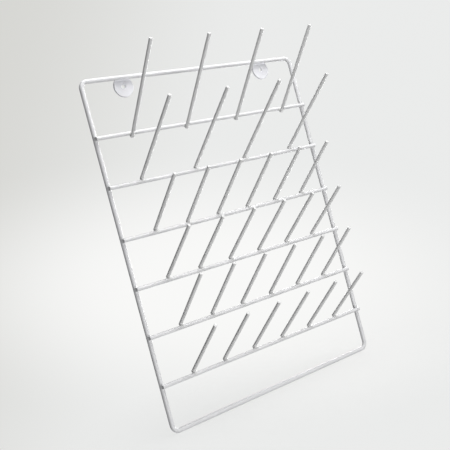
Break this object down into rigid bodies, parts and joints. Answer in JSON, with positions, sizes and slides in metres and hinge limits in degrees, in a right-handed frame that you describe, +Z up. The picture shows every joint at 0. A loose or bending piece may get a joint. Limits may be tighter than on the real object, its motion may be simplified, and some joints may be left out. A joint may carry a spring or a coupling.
{
  "type": "wire draining rack",
  "caption": "Wall-hung draining rack of white coated steel wire: a rectangular frame, cross wires and upward-sloping pegs, long above short, hung by two round tabs.",
  "frame": {"origin": "on the wall plane, which is the back of the two hanging tabs, midway across the rack, at the height of the tabs' screw holes", "axes": "+X to the right along the rows, seen from the room; +Y into the wall; +Z up the rack. The pegs point away from the wall, towards -Y and +Z"},
  "size_m": [0.3864, 0.1363, 0.5133],
  "materials": {
    "wire_coating": "thick glossy white dip coating over steel wire, slightly uneven",
    "peg_coating": "thick glossy white dip coating over steel wire, rounded at the cut ends",
    "tab_coating": "glossy white dip coating over a steel disc, pooled round the screw hole"
  },
  "bodies": {
    "root": {"outer_frame": "wire_coating", "cross_wire_1": "wire_coating", "cross_wire_2": "wire_coating", "cross_wire_3": "wire_coating", "cross_wire_4": "wire_coating", "cross_wire_5": "wire_coating", "cross_wire_6": "wire_coating", "long_peg_r1_c1": "peg_coating", "long_peg_r1_c2": "peg_coating", "long_peg_r1_c3": "peg_coating", "long_peg_r1_c4": "peg_coating", "long_peg_r2_c1": "peg_coating", "long_peg_r2_c2": "peg_coating", "long_peg_r2_c3": "peg_coating", "long_peg_r2_c4": "peg_coating", "short_peg_r3_c1": "peg_coating", "short_peg_r3_c2": "peg_coating", "short_peg_r3_c3": "peg_coating", "short_peg_r3_c4": "peg_coating", "short_peg_r3_c5": "peg_coating", "short_peg_r3_c6": "peg_coating", "short_peg_r4_c1": "peg_coating", "short_peg_r4_c2": "peg_coating", "short_peg_r4_c3": "peg_coating", "short_peg_r4_c4": "peg_coating", "short_peg_r4_c5": "peg_coating", "short_peg_r4_c6": "peg_coating", "short_peg_r5_c1": "peg_coating", "short_peg_r5_c2": "peg_coating", "short_peg_r5_c3": "peg_coating", "short_peg_r5_c4": "peg_coating", "short_peg_r5_c5": "peg_coating", "short_peg_r5_c6": "peg_coating", "short_peg_r6_c1": "peg_coating", "short_peg_r6_c2": "peg_coating", "short_peg_r6_c3": "peg_coating", "short_peg_r6_c4": "peg_coating", "short_peg_r6_c5": "peg_coating", "short_peg_r6_c6": "peg_coating", "left_hanging_tab": "tab_coating", "right_hanging_tab": "tab_coating"}
  },
  "joints": []
}
